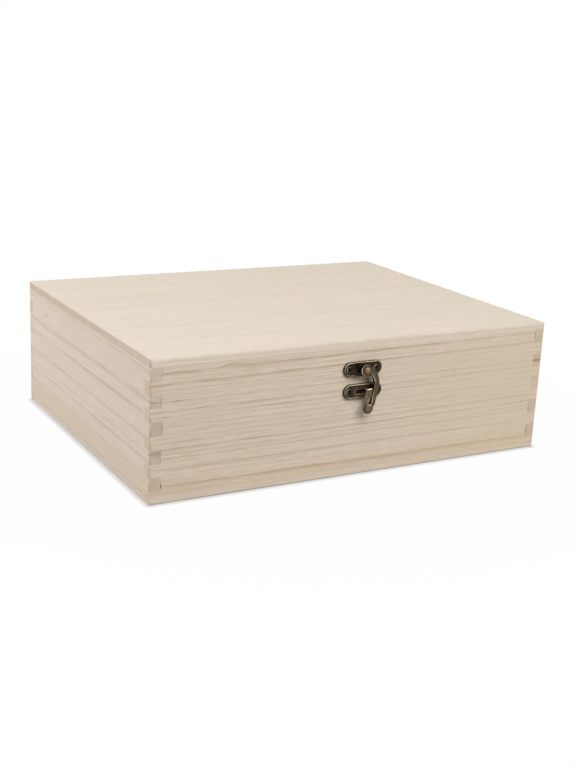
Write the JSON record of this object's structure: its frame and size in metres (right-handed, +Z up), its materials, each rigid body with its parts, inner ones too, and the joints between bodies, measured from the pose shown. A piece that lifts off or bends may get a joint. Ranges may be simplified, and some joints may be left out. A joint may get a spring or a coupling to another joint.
{
  "type": "wooden jewelry box",
  "caption": "Low rectangular keepsake box of pale wood with finger-jointed corners, an overlaid top panel, a lid hinged at the back and a swing-hook latch on the front.",
  "frame": {"origin": "on the table, under the middle of the wooden box (hinges and latch not counted)", "axes": "+X to the right along the front, +Y from the front (latch side) to the back (hinge side), +Z up"},
  "size_m": [0.3, 0.2459, 0.0928],
  "materials": {
    "pale_wood": "bare sanded light wood, open straight grain",
    "antique_bronze": "plated steel, dark bronze patina rubbed bright on the edges",
    "brass": "worn brass, satin"
  },
  "bodies": {
    "base": {"base_front_wall": "pale_wood", "base_back_wall": "pale_wood", "base_left_wall": "pale_wood", "base_right_wall": "pale_wood", "base_bottom_panel": "pale_wood", "catch_plate": "antique_bronze", "catch_plate_screws": "antique_bronze", "hinge_left_base_leaf": "antique_bronze", "hinge_left_base_screws": "antique_bronze", "hinge_left_pin": "antique_bronze", "hinge_right_base_leaf": "antique_bronze", "hinge_right_base_screws": "antique_bronze", "hinge_right_pin": "antique_bronze"},
    "lid": {"lid_front_wall": "pale_wood", "lid_back_wall": "pale_wood", "lid_left_wall": "pale_wood", "lid_right_wall": "pale_wood", "lid_top_panel": "pale_wood", "latch_plate": "antique_bronze", "latch_plate_screws": "antique_bronze", "latch_rivet": "brass", "hinge_left_lid_leaf": "antique_bronze", "hinge_left_lid_screws": "antique_bronze", "hinge_right_lid_leaf": "antique_bronze", "hinge_right_lid_screws": "antique_bronze"},
    "hook": {"latch_hook": "antique_bronze"}
  },
  "joints": [
    {"name": "lid_hinge", "type": "hinge", "parent": "base", "child": "lid", "pos_m": [0, 0.1193, 0.06565], "axis": [-1, 0, 0], "range_deg": [0, 180]},
    {"name": "hook_swing", "type": "hinge", "parent": "lid", "child": "hook", "pos_m": [-0.0013, -0.1225, 0.0736], "axis": [0, -1, 0], "range_deg": [0, 110]}
  ]
}
